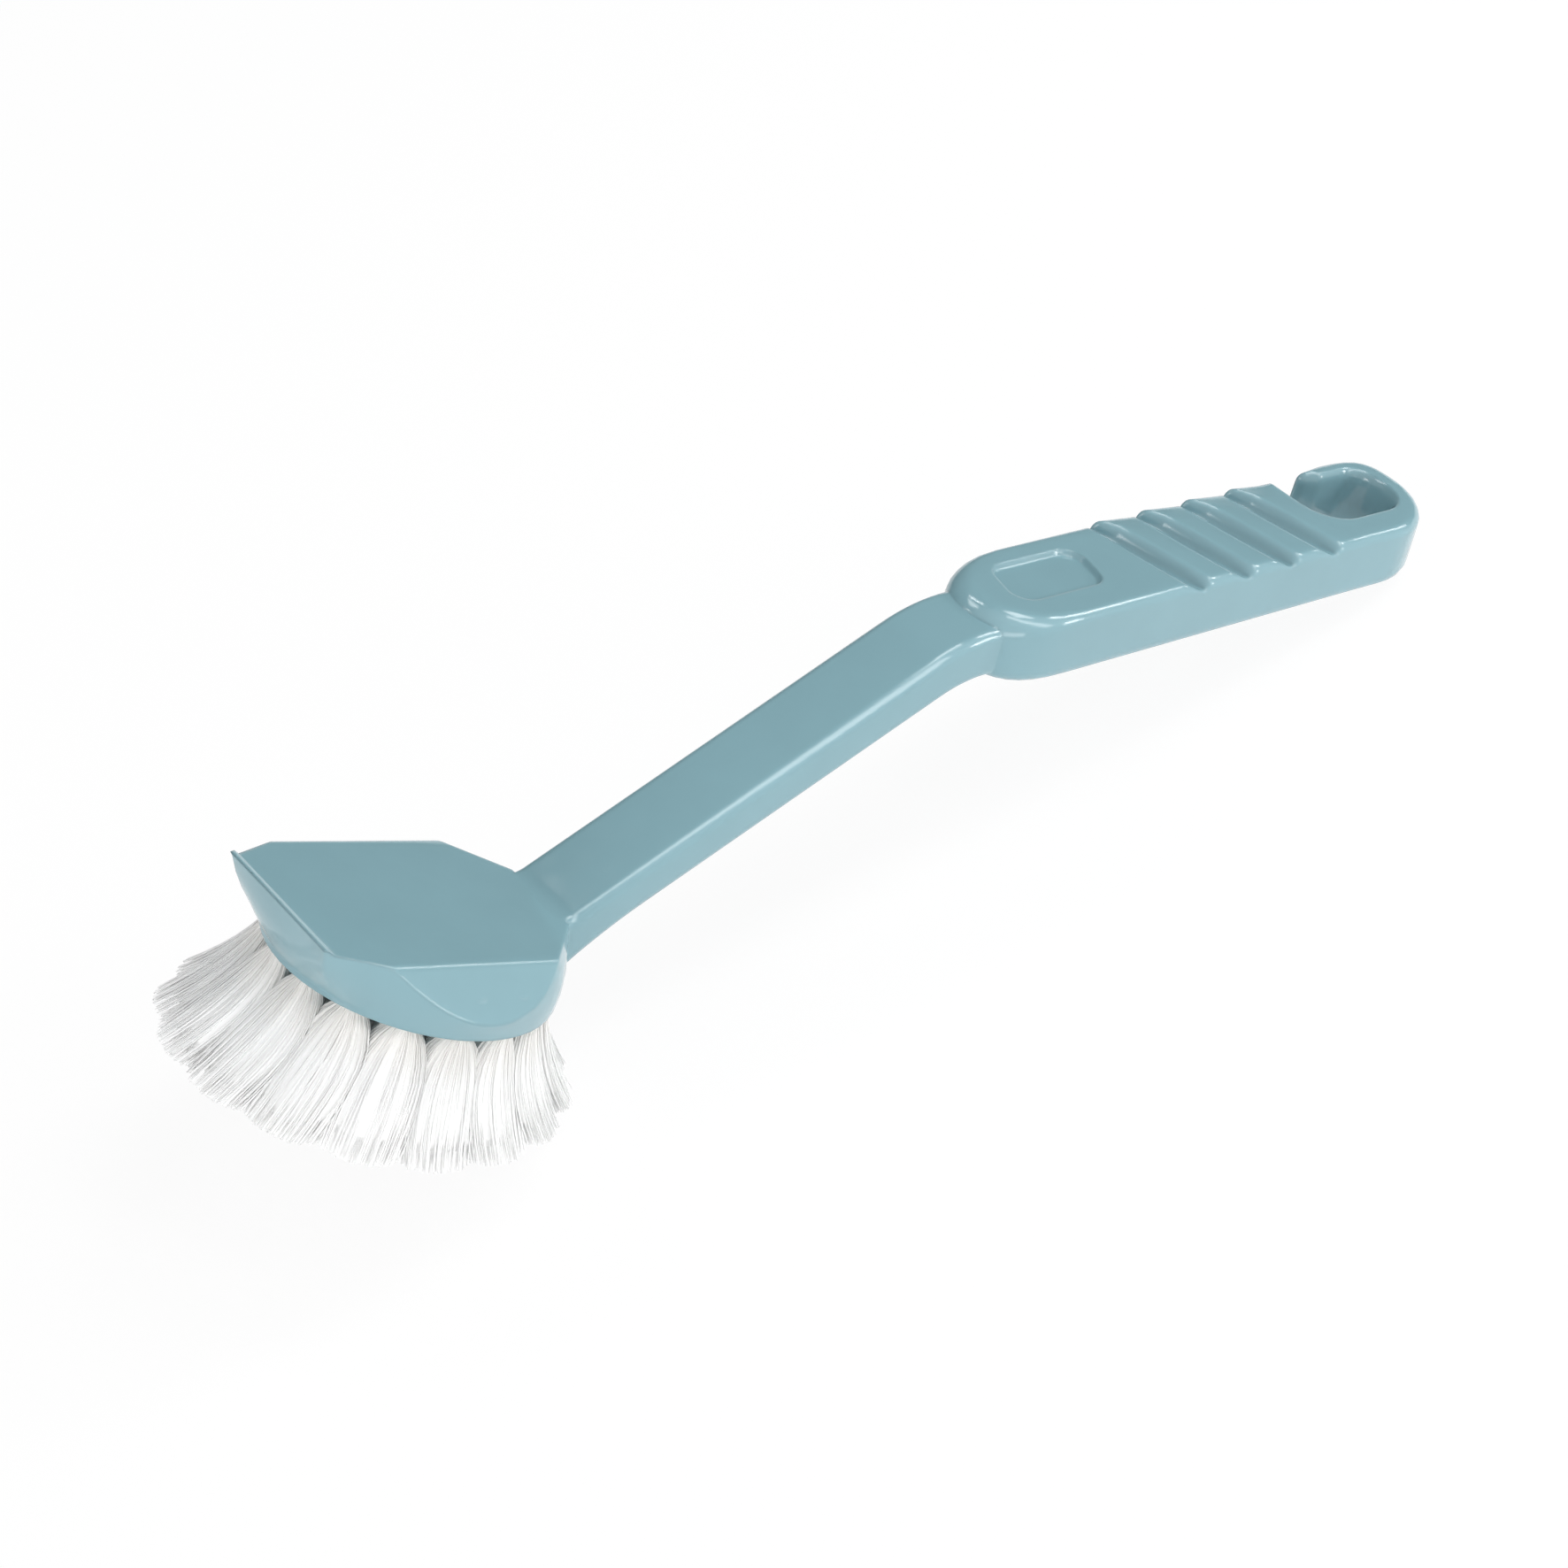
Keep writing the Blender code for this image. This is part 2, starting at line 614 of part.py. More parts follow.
def tuft_places():
    """Centre and ring number of each bunch on the oval base."""
    places = []
    inset = TUFT_EDGE + TUFT_HOLE / 2
    for ring, count in enumerate(RING_COUNTS):
        share = RING_SIZE_SHARES[ring]
        a = (BASE_LENGTH / 2 - inset) * share
        b = (BASE_WIDTH / 2 - inset) * share
        for i in range(count):
            turn = 2 * math.pi * (i + RING_TURN_SHARES[ring]) / count
            places.append((Vector((BASE_CENTRE + a * math.cos(turn), b * math.sin(turn))), ring))
    return places


def prism(bm, centre, radius, low, high):
    """An upright column with the sides of a bunch."""
    rings = []
    for z in (low, high):
        turns = [2 * math.pi * (i + 0.5) / TUFT_SIDES for i in range(TUFT_SIDES)]
        rings.append([
            bm.verts.new((centre.x + radius * math.cos(t), centre.y + radius * math.sin(t), z))
            for t in turns])
    for i in range(TUFT_SIDES):
        j = (i + 1) % TUFT_SIDES
        bm.faces.new((rings[0][i], rings[0][j], rings[1][j], rings[1][i]))
    bm.faces.new(list(reversed(rings[0])))
    bm.faces.new(rings[1])


def hole_cutters():
    bm = bmesh.new()
    for centre, ring in tuft_places():
        prism(bm, centre, TUFT_HOLE / 2, -HEAD_DEPTH - OVERRUN, TUFT_HOLE_DEPTH - HEAD_DEPTH)
    return bm


def strand_places(ring):
    """Places of the strands in a bunch, as shares of its radius."""
    total = STRAND_COUNTS[ring]
    inner = 5 if total > 14 else 4
    counts = (1, inner, total - 1 - inner)
    places = []
    for share, count in zip(STRAND_RING_SHARES, counts):
        for i in range(count):
            turn = 2 * math.pi * (i + share) / count
            places.append((share * math.cos(turn), share * math.sin(turn), turn))
    return places


def spread(root):
    """Where a point of the base goes by the time it has reached the level of the tips."""
    edge = TUFT_EDGE
    wide = (TIP_LENGTH - TUFT_TIP_SPREAD) / (BASE_LENGTH - 2 * edge - TUFT_HOLE)
    deep = (TIP_WIDTH - TUFT_TIP_SPREAD) / (BASE_WIDTH - 2 * edge - TUFT_HOLE)
    return Vector((BASE_CENTRE + (root.x - BASE_CENTRE) * wide, root.y * deep))


def tuft_mesh(index, centre, ring):
    """A bunch: a plug that sits in its hole, with strands that leave its face and spread."""
    radius = TUFT_HOLE / 2 - TUFT_CLEARANCE
    face = -HEAD_DEPTH
    depth = TUFT_HOLE_DEPTH - ANCHOR_HEIGHT - 2 * TUFT_CLEARANCE
    turns = [2 * math.pi * (i + 0.5) / TUFT_SIDES for i in range(TUFT_SIDES)]
    rim = [Vector((radius * math.cos(t), radius * math.sin(t))) for t in turns]
    places = strand_places(ring)
    points = list(rim)
    faces = [list(range(TUFT_SIDES))]
    reach = radius * math.cos(math.pi / TUFT_SIDES) - STRAND_WIDTH / 2
    for x, y, turn in places:
        first = len(points)
        for k in range(3):
            t = turn + 2 * math.pi * k / 3
            points.append(Vector((x, y)) * reach + Vector((math.cos(t), math.sin(t))) * (
                STRAND_WIDTH / 2))
        faces.append([first, first + 1, first + 2])
    flat, _, sheets, origins, _, owners = delaunay_2d_cdt(
        points, [], faces, 1, STRAND_WIDTH / 1000)
    bm = bmesh.new()
    laid = [bm.verts.new((centre.x + p.x, centre.y + p.y, face)) for p in flat]
    for sheet, owner in zip(sheets, owners):
        if max(owner) == 0:
            bm.faces.new([laid[i] for i in reversed(sheet)])
    verts = {origin: laid[i] for i, group in enumerate(origins) for origin in group}
    top = [bm.verts.new((centre.x + p.x, centre.y + p.y, face + depth)) for p in rim]
    for i in range(TUFT_SIDES):
        j = (i + 1) % TUFT_SIDES
        bm.faces.new((verts[i], verts[j], top[j], top[i]))
    bm.faces.new(top)
    end = spread(centre)
    span = TUFT_TIP_SPREAD * TIP_SPREAD_SHARES[ring] - STRAND_WIDTH
    opening = span / 2 / (reach * STRAND_RING_SHARES[-1])
    for n, (x, y, turn) in enumerate(places):
        root = Vector((x, y)) * reach
        wave = math.sin(index * 2.399 + n * 1.713) * math.cos(n * 4.17 + index)
        length = BRISTLE_LENGTH - TIP_RAGGEDNESS * (1 + wave) / 2
        start = TUFT_SIDES + 3 * n
        loop = [verts[start], verts[start + 1], verts[start + 2]]
        for share in (0.5, 1.0):
            way = Vector((centre.x, centre.y)).lerp(end, share)
            outward = way - Vector((BASE_CENTRE, 0))
            bend = 4 * share * (1 - share) * STRAND_BEND
            if outward.length > 0:
                way = way - outward.normalized() * bend
            wide = 1 + (opening - 1) * share * length / BRISTLE_LENGTH
            spot = way + root * wide
            ring_verts = []
            for k in range(3):
                t = turn + 2 * math.pi * k / 3
                p = spot + Vector((math.cos(t), math.sin(t))) * (STRAND_WIDTH / 2)
                ring_verts.append(bm.verts.new((p.x, p.y, face - length * share)))
            for k in range(3):
                m = (k + 1) % 3
                bm.faces.new((loop[k], loop[m], ring_verts[m], ring_verts[k]))
            loop = ring_verts
        bm.faces.new(loop)
    return bm


def anchor_mesh(centre):
    """A flat metal anchor that stands across the bottom of its hole."""
    bm = bmesh.new()
    bmesh.ops.create_cube(bm, size=1.0)
    across = (TUFT_HOLE / 2 - TUFT_CLEARANCE) * 2 * math.cos(math.pi / TUFT_SIDES)
    bmesh.ops.scale(bm, vec=(ANCHOR_THICKNESS, across, ANCHOR_HEIGHT), verts=bm.verts)
    level = TUFT_HOLE_DEPTH - HEAD_DEPTH - TUFT_CLEARANCE - ANCHOR_HEIGHT / 2
    bmesh.ops.translate(bm, vec=(centre.x, centre.y, level), verts=bm.verts)
    return bm


def evaluated_points(obj):
    bpy.context.view_layer.update()
    graph = bpy.context.evaluated_depsgraph_get()
    mesh = obj.evaluated_get(graph).to_mesh()
    return [v.co.copy() for v in mesh.vertices]


def resting_tilt(front, rear):
    """Tilt at which the lowest of both sets of points lie level."""
    low, high = 0.0, math.pi / 2
    for _ in range(60):
        tilt = (low + high) / 2
        down = Vector((-math.sin(tilt), 0, math.cos(tilt)))
        if min(p.dot(down) for p in front) < min(p.dot(down) for p in rear):
            low = tilt
        else:
            high = tilt
    return (low + high) / 2


def build():
    for obj in list(bpy.data.objects):
        bpy.data.objects.remove(obj, do_unlink=True)
    plastic = material("gloss_plastic", (0.222, 0.381, 0.428), 0.28)
    nylon = material("bristle_nylon", (0.86, 0.87, 0.87), 0.55)
    steel = material("anchor_steel", (0.62, 0.62, 0.60), 0.35, 1.0)

    body = new_object("brush_body", head_mesh(), plastic)
    lip = as_cutter(new_object("cut_lip", lip_cutter()))
    boolean(body, lip, "DIFFERENCE")
    bevel = body.modifiers.new("edges", "BEVEL")
    bevel.width = HEAD_EDGE_RADIUS
    bevel.segments = 2
    bevel.limit_method = "ANGLE"
    bevel.angle_limit = math.radians(33)

    grip = as_cutter(new_object("form_grip", grip_mesh(), plastic))
    hook = as_cutter(new_object("cut_hook", hook_cutter()))
    recess = as_cutter(new_object("cut_recess", recess_cutter()))
    boolean(grip, recess, "DIFFERENCE")
    boolean(grip, hook, "DIFFERENCE")
    neck = as_cutter(new_object("form_neck", neck_mesh(), plastic))
    boolean(body, neck, "UNION")
    boolean(body, grip, "UNION")
    holes = as_cutter(new_object("cut_tuft_holes", hole_cutters()))
    boolean(body, holes, "DIFFERENCE")

    tufts = []
    anchors = []
    for i, (centre, ring) in enumerate(tuft_places()):
        tufts.append(new_object("tuft_%02d" % (i + 1), tuft_mesh(i, centre, ring), nylon, 70.0))
        anchors.append(new_object("anchor_%02d" % (i + 1), anchor_mesh(centre), steel))

    tips = [v.co.copy() for t in tufts for v in t.data.vertices]
    shell = evaluated_points(body)
    tilt = resting_tilt(tips, [p for p in shell if p.x > NECK_ROOT])
    turn = Matrix.Rotation(tilt, 3, "Y")
    placed = [turn @ p for p in shell + tips]
    low = [min(p[k] for p in placed) for k in range(3)]
    high = [max(p[k] for p in placed) for k in range(3)]
    frame = bpy.data.objects.new("resting_frame", None)
    bpy.context.collection.objects.link(frame)
    frame.rotation_euler = (0, tilt, 0)
    frame.location = (-(low[0] + high[0]) / 2, -(low[1] + high[1]) / 2, -low[2])
    for obj in [body, lip, grip, hook, recess, neck, holes] + tufts + anchors:
        obj.parent = frame
    bpy.context.view_layer.update()


build()
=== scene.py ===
import math
import random

import bmesh
import bpy
import numpy as np
from mathutils import Matrix, Vector


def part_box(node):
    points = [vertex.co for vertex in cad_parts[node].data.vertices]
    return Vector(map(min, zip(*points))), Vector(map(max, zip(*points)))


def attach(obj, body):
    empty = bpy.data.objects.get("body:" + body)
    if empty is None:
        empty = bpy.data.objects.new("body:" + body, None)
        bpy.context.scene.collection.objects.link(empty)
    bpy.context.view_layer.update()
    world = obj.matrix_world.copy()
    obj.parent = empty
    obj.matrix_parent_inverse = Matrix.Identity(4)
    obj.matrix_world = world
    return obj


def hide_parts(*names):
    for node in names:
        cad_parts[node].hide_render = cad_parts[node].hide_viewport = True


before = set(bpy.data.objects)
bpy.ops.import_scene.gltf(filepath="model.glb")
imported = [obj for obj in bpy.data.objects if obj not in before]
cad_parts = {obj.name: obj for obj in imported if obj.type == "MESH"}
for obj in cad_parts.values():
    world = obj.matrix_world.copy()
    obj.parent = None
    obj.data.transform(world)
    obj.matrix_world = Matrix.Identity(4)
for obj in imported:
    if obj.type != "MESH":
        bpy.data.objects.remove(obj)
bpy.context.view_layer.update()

# The head's own frame, in metres: its flat top is at z = 0, its scraper edge at x = 0,
# and the grip lies towards +X.
BASE_CENTRE = 0.0331
BASE_LENGTH = 0.0554
BASE_WIDTH = 0.0488
HEAD_DEPTH = 0.0114
ANCHOR_LEVEL = -0.0055
TUFT_HOLE = 0.0046
TUFT_EDGE = 0.0012
RING_COUNTS = (16, 9, 4)
RING_SIZE_SHARES = (1.0, 0.62, 0.24)

# Shading of the moulding
WELD_DISTANCE = 0.000002
CREASE_ANGLE = 36.0

# Bunches of bristle, as they fan out from their holes to their tips
BRISTLE_LENGTH = 0.0206
FRONT_EXTRA = 0.0016
TIP_LENGTH = 0.0800
TIP_WIDTH = 0.0660
TUFT_TIP_SPREAD = 0.0105
FAN_SHARE = 1.22
FLARE = 3.4
TIP_CROWN = 0.0022
CROWN_POWER = 3
ROOT_DEPTH = 0.0022
SEED = 11

# Strands of a bunch. Two in every five stand inside it, and the others round its core.
STRAND_COUNTS = (300, 200, 150)
INNER_STEP = 5
INNER_STRANDS = 2
STRAND_WIDTH = 0.00024
STRAND_SIDES = 4
STRAND_STEPS = 7
STRAND_BEND = 0.0018
STRAND_SWAY = 0.00012
SWAY_HALF_WAVES = 1.5
TURN_JITTER = 0.25
TIP_JITTER = 0.00018
RAGGEDNESS = 0.0005
SHARP_ANGLE = 100.0

# The solid core of a bunch, and its size at shares of the bunch's length
CORE_FILL = 0.74
CORE_SHARE = 0.95
CORE_FLUTE = 0.05
CORE_SPOKES = 56
CORE_SIZES = (
    (0.0, 1.0), (0.14, 1.0), (0.28, 1.0), (0.42, 1.0), (0.56, 1.0),
    (0.70, 1.0), (0.82, 0.97), (0.87, 0.80), (0.90, 0.45), (0.91, 0.02),
)

# Camera, in the head's frame
CAMERA_PLACE = (-0.28450094, -0.29587752, 0.20811088)
CAMERA_RIGHT = (0.66565305, -0.62512156, 0.40758932)
CAMERA_DOWN = (0.01039354, -0.53835611, -0.84265335)
CAMERA_AHEAD = (0.74618898, 0.56515107, -0.35186116)
CAMERA_LENS = 65.52
SENSOR_WIDTH = 36.0
CLIP_START = 0.01
CLIP_END = 50.0

# Lights: direction from the brush, distance, width and height in metres, and brightness
AIM = (0.0, 0.0, 0.04)
SOFTBOXES = {
    "strip": ((0.24, -0.54, 0.80), 1.2, 0.26, 1.50, 4.5),
    "window": ((0.42, 0.00, 0.90), 1.2, 0.42, 0.42, 6.5),
    "behind": ((-0.30, 0.565, 0.77), 1.2, 0.34, 0.16, 5.5),
    "crests": ((0.00, 0.565, 0.825), 1.2, 0.09, 0.16, 16.0),
    "hook_side": ((0.81, -0.12, 0.56), 1.2, 0.22, 0.40, 13.0),
    "right": ((0.93, 0.00, 0.26), 1.2, 0.14, 0.22, 9.0),
    "left": ((-0.90, -0.10, 0.42), 1.2, 0.50, 0.40, 5.2),
    "near_side": ((-0.70, -0.70, 0.12), 1.3, 1.70, 0.42, 3.1),
    "near_low": ((0.67, -0.71, 0.19), 1.3, 0.28, 0.26, 13.0),
}

# Studio and floor
STUDIO_LEVEL = 0.30
DARK_LEVEL = 0.08
DARK_SIDE = (0.50, 0.84, 0.20)
DARK_EDGE = 0.6
STUDIO_TINT = (0.97, 0.98, 1.0)
FLOOR_RADIUS = 0.52
FLOOR_SEGMENTS = 96
BACKDROP_SHARE = 0.92
WHITE = (1.0, 1.0, 1.0)
FLOOR = (0.95, 0.95, 0.95)

# Glossy plastic: faint clouds in its colour, uneven gloss, slight waves, rounded edges
PLASTIC = (0.222, 0.381, 0.428)
PLASTIC_IOR = 1.56
PLASTIC_SHADES = (0.975, 1.02)
PLASTIC_ROUGHNESS = (0.07, 0.12)
CLOUD_SCALE, CLOUD_DETAIL = 55.0, 3.0
FILM_SCALE, FILM_DETAIL = 240.0, 4.0
SKIN_SCALE, SKIN_DETAIL = 130.0, 2.0
NOISE_RANGE = (0.3, 0.7)
EDGE_ROUND = 0.0009
EDGE_SAMPLES = 6
SKIN_STRENGTH = 0.35
SKIN_HEIGHT = 0.00012

# Nylon: each strand has its own shade, and its root is a little darker and warmer, which is
# painted shade under the head
NYLON = (0.965, 0.965, 0.96)
NYLON_IOR = 1.53
NYLON_ROUGHNESS = 0.34
STRAND_SHADES = (0.965, 1.015)
# Painted shade at the strands' roots: its tint, and the shares of their length over which it fades
ROOT_SHADE_TINT = (0.93, 0.91, 0.88)
ROOT_SHADE_RANGE = (0.05, 0.45)

# Steel with a drawn grain
STEEL = (0.62, 0.62, 0.60)
GRAIN_SCALE = (900, 60, 900)
STEEL_ROUGHNESS = (0.25, 0.45)


def head_frame():
    """The matrix of the head's own frame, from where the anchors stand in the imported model."""
    spots = []
    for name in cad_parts:
        if name.startswith("anchor_"):
            low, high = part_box(name)
            spots.append((low + high) / 2)
    middle = sum(spots, Vector()) / len(spots)
    across = sum((p.x - middle.x) ** 2 for p in spots)
    slope = sum((p.x - middle.x) * (p.z - middle.z) for p in spots) / across
    turn = Matrix.Rotation(-math.atan(slope), 4, "Y")
    seat = turn @ Vector((BASE_CENTRE, 0, ANCHOR_LEVEL))
    return Matrix.Translation(middle - seat) @ turn


HEAD = head_frame()


def node(tree, kind, **settings):
    made = tree.nodes.new(kind)
    for key, value in settings.items():
        setattr(made, key, value)
    return made


def new_material(name):
    """A material with its node tree and its Principled shader."""
    mat = bpy.data.materials.new(name)
    mat.use_nodes = True
    tree = mat.node_tree
    return mat, tree, tree.nodes["Principled BSDF"]


def noise(tree, vector, scale, detail):
    made = node(tree, "ShaderNodeTexNoise")
    made.inputs["Scale"].default_value = scale
    made.inputs["Detail"].default_value = detail
    tree.links.new(vector, made.inputs["Vector"])
    return made.outputs["Fac"]


def map_range(tree, value, old, new, **settings):
    """Maps a value from one range of numbers to another."""
    made = node(tree, "ShaderNodeMapRange", **settings)
    made.inputs["From Min"].default_value, made.inputs["From Max"].default_value = old
    made.inputs["To Min"].default_value, made.inputs["To Max"].default_value = new
    tree.links.new(value, made.inputs["Value"])
    return made.outputs["Result"]


def shade_ramp(tree, factor, colour, shades, span=(0.0, 1.0)):
    """Runs from a darker to a lighter shade of a colour."""
    made = node(tree, "ShaderNodeValToRGB")
    for element, shade, position in zip(made.color_ramp.elements, shades, span):
        element.position = position
        element.color = (*[min(1, c * shade) for c in colour], 1)
    tree.links.new(factor, made.inputs["Fac"])
    return made.outputs["Color"]


def smooth_moulding(cad):
    """Shades the moulding's rounded edges as curves and keeps its creases and flats crisp."""
    mesh = cad.data
    if "custom_normal" in mesh.attributes:
        mesh.attributes.remove(mesh.attributes["custom_normal"])
    mesh.shade_smooth()
    weld = cad.modifiers.new("joined facets", "WELD")
    weld.merge_threshold = WELD_DISTANCE
    split = cad.modifiers.new("creases", "EDGE_SPLIT")
    split.split_angle = math.radians(CREASE_ANGLE)
    flats = cad.modifiers.new("flat faces", "WEIGHTED_NORMAL")
    flats.keep_sharp = True


def plastic_material():
    mat, tree, shader = new_material("gloss_plastic_finish")
    shader.inputs["IOR"].default_value = PLASTIC_IOR
    place = node(tree, "ShaderNodeTexCoord").outputs["Object"]

    clouds = noise(tree, place, CLOUD_SCALE, CLOUD_DETAIL)
    colour = shade_ramp(tree, clouds, PLASTIC, PLASTIC_SHADES, NOISE_RANGE)
    tree.links.new(colour, shader.inputs["Base Color"])

    film = noise(tree, place, FILM_SCALE, FILM_DETAIL)
    gloss = map_range(tree, film, NOISE_RANGE, PLASTIC_ROUGHNESS)
    tree.links.new(gloss, shader.inputs["Roughness"])

    edges = node(tree, "ShaderNodeBevel", samples=EDGE_SAMPLES)
    edges.inputs["Radius"].default_value = EDGE_ROUND
    bump = node(tree, "ShaderNodeBump")
    bump.inputs["Strength"].default_value = SKIN_STRENGTH
    bump.inputs["Distance"].default_value = SKIN_HEIGHT
    tree.links.new(edges.outputs["Normal"], bump.inputs["Normal"])
    tree.links.new(noise(tree, place, SKIN_SCALE, SKIN_DETAIL), bump.inputs["Height"])
    tree.links.new(bump.outputs["Normal"], shader.inputs["Normal"])
    return mat


def nylon_material():
    mat, tree, shader = new_material("bristle_nylon_finish")
    shader.inputs["IOR"].default_value = NYLON_IOR
    shader.inputs["Roughness"].default_value = NYLON_ROUGHNESS
    strand = node(tree, "ShaderNodeNewGeometry").outputs["Random Per Island"]
    along = node(tree, "ShaderNodeAttribute", attribute_name="along").outputs["Fac"]
    # Painted shade: the strands darken to a warm grey towards their roots under the head
    root_shade = node(tree, "ShaderNodeMix", data_type="RGBA", blend_type="MULTIPLY")
    tree.links.new(map_range(tree, along, ROOT_SHADE_RANGE, (1.0, 0.0)), root_shade.inputs["Factor"])
    tree.links.new(shade_ramp(tree, strand, NYLON, STRAND_SHADES), root_shade.inputs["A"])
    root_shade.inputs["B"].default_value = (*ROOT_SHADE_TINT, 1)
    tree.links.new(root_shade.outputs["Result"], shader.inputs["Base Color"])
    return mat


def steel_material():
    mat, tree, shader = new_material("anchor_steel_finish")
    shader.inputs["Metallic"].default_value = 1.0
    shader.inputs["Base Color"].default_value = (*STEEL, 1)
    coords = node(tree, "ShaderNodeTexCoord")
    stretch = node(tree, "ShaderNodeMapping")
    stretch.inputs["Scale"].default_value = GRAIN_SCALE
    tree.links.new(coords.outputs["Object"], stretch.inputs["Vector"])
    grain = node(tree, "ShaderNodeTexNoise")
    tree.links.new(stretch.outputs["Vector"], grain.inputs["Vector"])
    gloss = map_range(tree, grain.outputs["Fac"], (0.0, 1.0), STEEL_ROUGHNESS)
    tree.links.new(gloss, shader.inputs["Roughness"])
    return mat


def tuft_places():
    """Centre and ring number of each bunch on the head's underside."""
    places = []
    inset = TUFT_EDGE + TUFT_HOLE / 2
    for ring, count in enumerate(RING_COUNTS):
        a = (BASE_LENGTH / 2 - inset) * RING_SIZE_SHARES[ring]
        b = (BASE_WIDTH / 2 - inset) * RING_SIZE_SHARES[ring]
        for i in range(count):
            turn = 2 * math.pi * (i + 0.5) / count
            places.append((BASE_CENTRE + a * math.cos(turn), b * math.sin(turn), ring))
    return places


def tip_centre(x, y):
    """Where the middle of a bunch is at the level of its tips."""
    wide = (TIP_LENGTH - TUFT_TIP_SPREAD) / (BASE_LENGTH - 2 * TUFT_EDGE - TUFT_HOLE)
    deep = (TIP_WIDTH - TUFT_TIP_SPREAD) / (BASE_WIDTH - 2 * TUFT_EDGE - TUFT_HOLE)
    return BASE_CENTRE + (x - BASE_CENTRE) * wide, y * deep


def tip_spacing(x, y, ring):
    """How far apart neighbouring bunches of a ring are at their tips."""
    mine = Vector(tip_centre(x, y))
    others = [Vector(tip_centre(u, v)) for u, v, r in tuft_places() if r == ring]
    gaps = sorted((mine - other).length for other in others)
    return (gaps[1] + gaps[2]) / 2


class Bunch:
    """Where the strands of one bunch run from their hole to their cut tips."""

    def __init__(self, x, y, ring):
        self.root = Vector((x, y))
        self.tip = Vector(tip_centre(x, y))
        self.fan = FAN_SHARE * tip_spacing(x, y, ring)
        rear = BASE_CENTRE + TIP_LENGTH / 2
        forward = min(1, (rear - self.tip.x) * 2 / TIP_LENGTH)
        self.length = BRISTLE_LENGTH + FRONT_EXTRA * forward
        self.outward = Vector((x - BASE_CENTRE, y)).normalized()
        self.across = Vector((-self.outward.y, self.outward.x))

    def spot(self, flat, share, rise=0.0, stray=(0.0, 0.0)):
        """Point at a share of the length of the strand that stands at a place in the bunch.

        The place is given in shares of the bunch's radius."""
        hole = TUFT_HOLE / 2 - STRAND_WIDTH
        out = hole + (TUFT_TIP_SPREAD / 2 - hole) * share
        side = hole + (self.fan / 2 - hole) * (1 - (1 - share) ** FLARE)
        lean = (self.tip - self.root).normalized()
        bend = STRAND_BEND * 4 * share * (1 - share)
        place = self.root.lerp(self.tip, share) - lean * bend
        place += self.outward * (flat @ self.outward) * out
        place += self.across * (flat @ self.across) * side
        place += Vector(stray) * share
        length = self.length - TIP_CROWN * flat.length ** CROWN_POWER - rise
        return Vector((*place, -HEAD_DEPTH - length * share))


def strand_rings(bunch, n, count, rng):
    """Rings of points along one filament, each with its share of the length."""
    part = (n + 0.5) / count
    inner = n % INNER_STEP < INNER_STRANDS
    r = math.sqrt(CORE_FILL * part if inner else CORE_FILL + (1 - CORE_FILL) * part)
    golden_turn = n * math.pi * (3 - math.sqrt(5))
    turn = golden_turn + rng.uniform(-TURN_JITTER, TURN_JITTER)
    flat = Vector((math.cos(turn), math.sin(turn))) * r
    stray = (rng.gauss(0, TIP_JITTER), rng.gauss(0, TIP_JITTER))
    rise = RAGGEDNESS * rng.random() ** 2
    sway = rng.gauss(0, STRAND_SWAY)
    swirl = rng.uniform(0, math.pi)
    corners = []
    for m in range(STRAND_SIDES):
        angle = swirl + 2 * math.pi * m / STRAND_SIDES
        corners.append(Vector((math.cos(angle), math.sin(angle), 0)) * (STRAND_WIDTH / 2))
    rings = []
    for k in range(-1, STRAND_STEPS + 1):
        share = max(k, 0) / STRAND_STEPS
        spot = bunch.spot(flat, share, rise, stray)
        wave = sway * math.sin(math.pi * SWAY_HALF_WAVES * share)
        spot += Vector((*bunch.across, 0)) * wave
        if k < 0:
            spot.z += ROOT_DEPTH
        rings.append((share, [spot + corner for corner in corners]))
    return rings


def core_rings(bunch, rng):
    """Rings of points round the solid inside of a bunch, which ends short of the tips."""
    flutes = [1 - CORE_FLUTE * rng.random() for _ in range(CORE_SPOKES)]
    rings = []
    for share, size in CORE_SIZES:
        ring = []
        for m, flute in enumerate(flutes):
            turn = 2 * math.pi * m / CORE_SPOKES
            flat = Vector((math.cos(turn), math.sin(turn))) * (CORE_SHARE * flute * size)
            ring.append(bunch.spot(flat, share))
        rings.append((share, ring))
    top = [p + Vector((0, 0, ROOT_DEPTH)) for p in rings[0][1]]
    return [(0.0, top)] + rings


def bristle_mesh(name, x, y, ring, rng):
    """One bunch of nylon strands that leave their hole together and fan out to cut tips."""
    bunch = Bunch(x, y, ring)
    tubes = [core_rings(bunch, rng)]
    count = STRAND_COUNTS[ring]
    tubes += [strand_rings(bunch, n, count, rng) for n in range(count)]
    verts, faces, shares = [], [], []
    for rings in tubes:
        first = len(verts)
        sides = len(rings[0][1])
        for share, points in rings:
            verts += [HEAD @ p for p in points]
            shares += [share] * sides
        for k in range(len(rings) - 1):
            for m in range(sides):
                a = first + k * sides + m
                b = first + k * sides + (m + 1) % sides
                faces.append((a, a + sides, b + sides, b))
        last = first + (len(rings) - 1) * sides
        faces.append([first + m for m in range(sides)])
        faces.append([last + m for m in reversed(range(sides))])
    mesh = bpy.data.meshes.new(name)
    mesh.from_pydata(verts, [], faces)
    mesh.shade_smooth()
    mesh.set_sharp_from_angle(angle=math.radians(SHARP_ANGLE))
    along = mesh.attributes.new("along", "FLOAT", "POINT")
    along.data.foreach_set("value", np.array(shares, np.float32))
    return mesh


